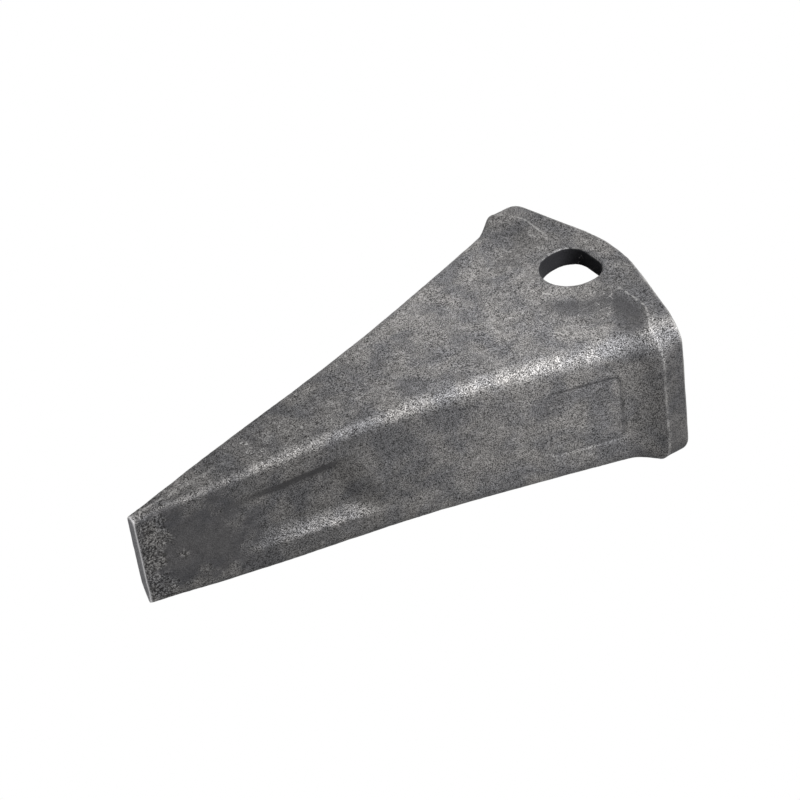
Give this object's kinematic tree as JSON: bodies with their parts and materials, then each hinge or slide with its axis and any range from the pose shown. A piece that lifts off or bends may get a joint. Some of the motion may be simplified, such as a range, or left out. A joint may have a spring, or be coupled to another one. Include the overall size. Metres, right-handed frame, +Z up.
{
  "type": "excavator bucket tooth",
  "caption": "Long forged wedge tooth with a tapered socket, flared collar and D-shaped cross hole, with its flexible lock pin.",
  "frame": {"origin": "where the lock pin's axis crosses the tooth's centre line", "axes": "+X towards the cutting edge, +Y along the pin, +Z up when the tooth is digging"},
  "size_m": [0.4616, 0.1838, 0.2376],
  "materials": {
    "forged_steel": "shot-blasted forging, dark grey and grainy",
    "pin_steel": "rolled bar, oiled",
    "pin_rubber": "moulded matt"
  },
  "bodies": {
    "tooth": {"tooth_body": "forged_steel"},
    "lock_pin": {"pin_front_bar": "pin_steel", "pin_rubber": "pin_rubber"},
    "lock_pin_rear": {"pin_rear_bar": "pin_steel"}
  },
  "joints": [
    {"name": "pin_drive", "type": "slide", "parent": "tooth", "child": "lock_pin", "axis": [0, -1, 0], "range_m": [-0.085, 0.052]},
    {"name": "pin_squeeze", "type": "slide", "parent": "lock_pin", "child": "lock_pin_rear", "axis": [1, 0, 0], "range_m": [0, 0.003], "stiffness_N_per_m": 100000, "deforming": ["pin_rubber"]}
  ]
}
